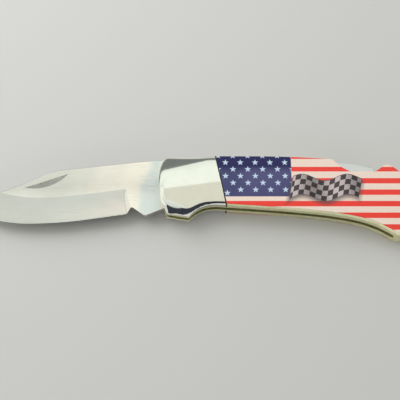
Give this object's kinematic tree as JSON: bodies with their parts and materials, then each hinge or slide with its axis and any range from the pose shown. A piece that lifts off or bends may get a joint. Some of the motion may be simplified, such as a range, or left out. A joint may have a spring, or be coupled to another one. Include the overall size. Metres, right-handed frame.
{
  "type": "folding pocket knife",
  "caption": "Lock-back folding pocket knife, open: clip-point blade, polished bolsters, printed side panels, brass liners and a rocking lock bar along the back.",
  "frame": {"origin": "on the pivot axis, on the far bolster's flat outer face", "axes": "+X along the handle to the butt, -X to the blade's tip, +Y to the back of the handle, +Z to the near side, away from the surface that the knife lies on"},
  "size_m": [0.1918, 0.0352, 0.011],
  "materials": {
    "blade_steel": "fine satin with light scratches",
    "polished_steel": "mirror polish, lightly scratched",
    "spring_steel": "satin",
    "brass": "pale, slightly tarnished",
    "printed_panel": "glossy print of stars and stripes",
    "black_fibre": "matt"
  },
  "bodies": {
    "handle": {"near_bolster": "polished_steel", "far_bolster": "polished_steel", "near_bolster_pin": "brass", "far_bolster_pin": "brass", "near_scale": "brass", "far_scale": "brass", "near_flag_panel": "printed_panel", "far_flag_panel": "printed_panel", "near_joint_strip": "black_fibre", "far_joint_strip": "black_fibre", "near_liner": "brass", "far_liner": "brass", "rear_spacer": "brass", "lock_spring": "spring_steel", "pivot_pin": "spring_steel", "rocker_pin": "spring_steel", "rear_rivet_upper": "brass", "rear_rivet_heel": "brass"},
    "blade": {"blade": "blade_steel"},
    "lock_bar": {"lock_bar": "spring_steel"}
  },
  "joints": [
    {"name": "blade_fold", "type": "hinge", "parent": "handle", "child": "blade", "pos_m": [0, 0, 0.0055], "axis": [0, 0, 1], "range_deg": [0, 170.3]},
    {"name": "lock_rock", "type": "hinge", "parent": "handle", "child": "lock_bar", "pos_m": [0.042, 0.0106, 0.0055], "axis": [0, 0, -1], "range_deg": [-1.9, 0.8], "deforming": ["lock_spring"]}
  ]
}
